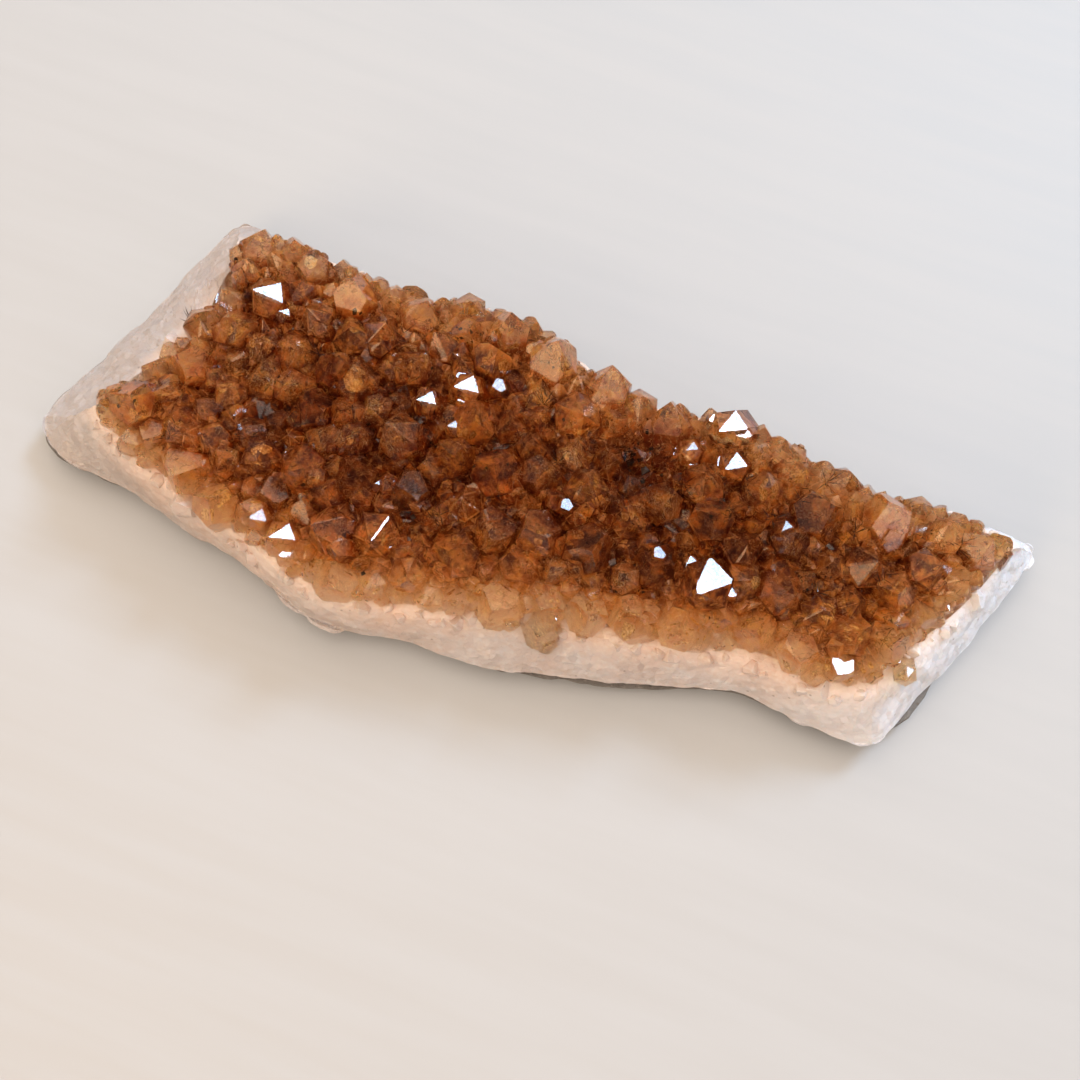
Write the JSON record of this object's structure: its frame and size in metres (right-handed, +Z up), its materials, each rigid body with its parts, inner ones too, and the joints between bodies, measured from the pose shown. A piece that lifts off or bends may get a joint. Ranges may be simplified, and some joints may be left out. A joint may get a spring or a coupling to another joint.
{
  "type": "citrine cluster",
  "caption": "Long slab of amber citrine points grown on milky quartz with a thin grey basalt skin beneath, a mineral specimen that rests flat on a shelf or table.",
  "frame": {"origin": "middle of the bounding box at the resting face", "axes": "+X along the slab's length, +Y across it towards the steep back edge, +Z up through the crystal points"},
  "size_m": [0.1778, 0.067, 0.0266],
  "materials": {
    "citrine": "glassy facets, amber to red brown, see-through with faint veils",
    "milky_quartz": "sugary milky white quartz, slightly pink, broken edge",
    "basalt": "matt grey brown basalt, fine grained, worn flat below"
  },
  "bodies": {
    "root": {"citrine_crystals": "citrine", "quartz_matrix": "milky_quartz", "basalt_rind": "basalt"}
  },
  "joints": []
}
